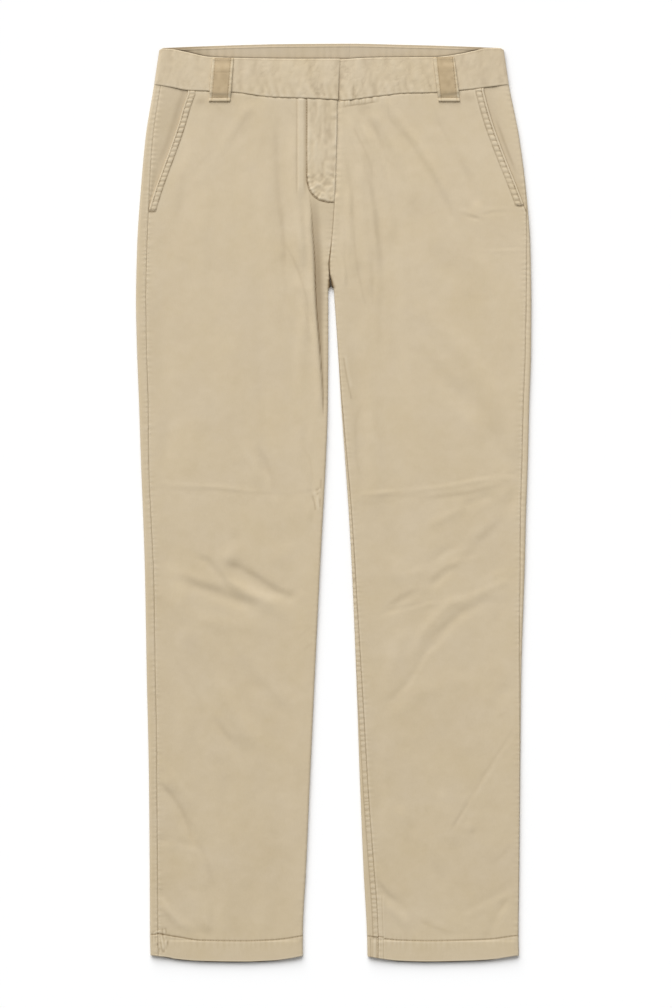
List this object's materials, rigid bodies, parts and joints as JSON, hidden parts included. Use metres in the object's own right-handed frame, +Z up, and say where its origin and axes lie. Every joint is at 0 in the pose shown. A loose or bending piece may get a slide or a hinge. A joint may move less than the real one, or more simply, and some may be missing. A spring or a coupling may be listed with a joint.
{
  "type": "chino trousers",
  "caption": "Slim straight twill chinos laid flat front side up, with a lapped waistband, J-stitched fly, slanted front pockets, wide belt loops and plain turned hems.",
  "frame": {"origin": "middle of the laid garment's footprint, on the surface that it rests on", "axes": "+Z up out of the surface, +Y from the hems to the waistband, -X to the wearer's right leg; the front faces +Z"},
  "size_m": [0.4403, 1.023, 0.0103],
  "materials": {
    "khaki_twill": "matt washed cotton twill",
    "khaki_band": "matt washed cotton twill, stiffened",
    "khaki_loop": "matt cotton twill, less faded",
    "khaki_inside": "matt cotton twill, inner side"
  },
  "bodies": {
    "root": {"front_right": "khaki_twill", "front_left": "khaki_twill", "back_right": "khaki_twill", "back_left": "khaki_twill", "pocket_bearer_right": "khaki_twill", "pocket_bearer_left": "khaki_twill", "waistband_right": "khaki_band", "waistband_left": "khaki_band", "band_facing_right": "khaki_inside", "band_facing_left": "khaki_inside", "belt_loop_right": "khaki_loop", "belt_loop_left": "khaki_loop"}
  },
  "joints": []
}
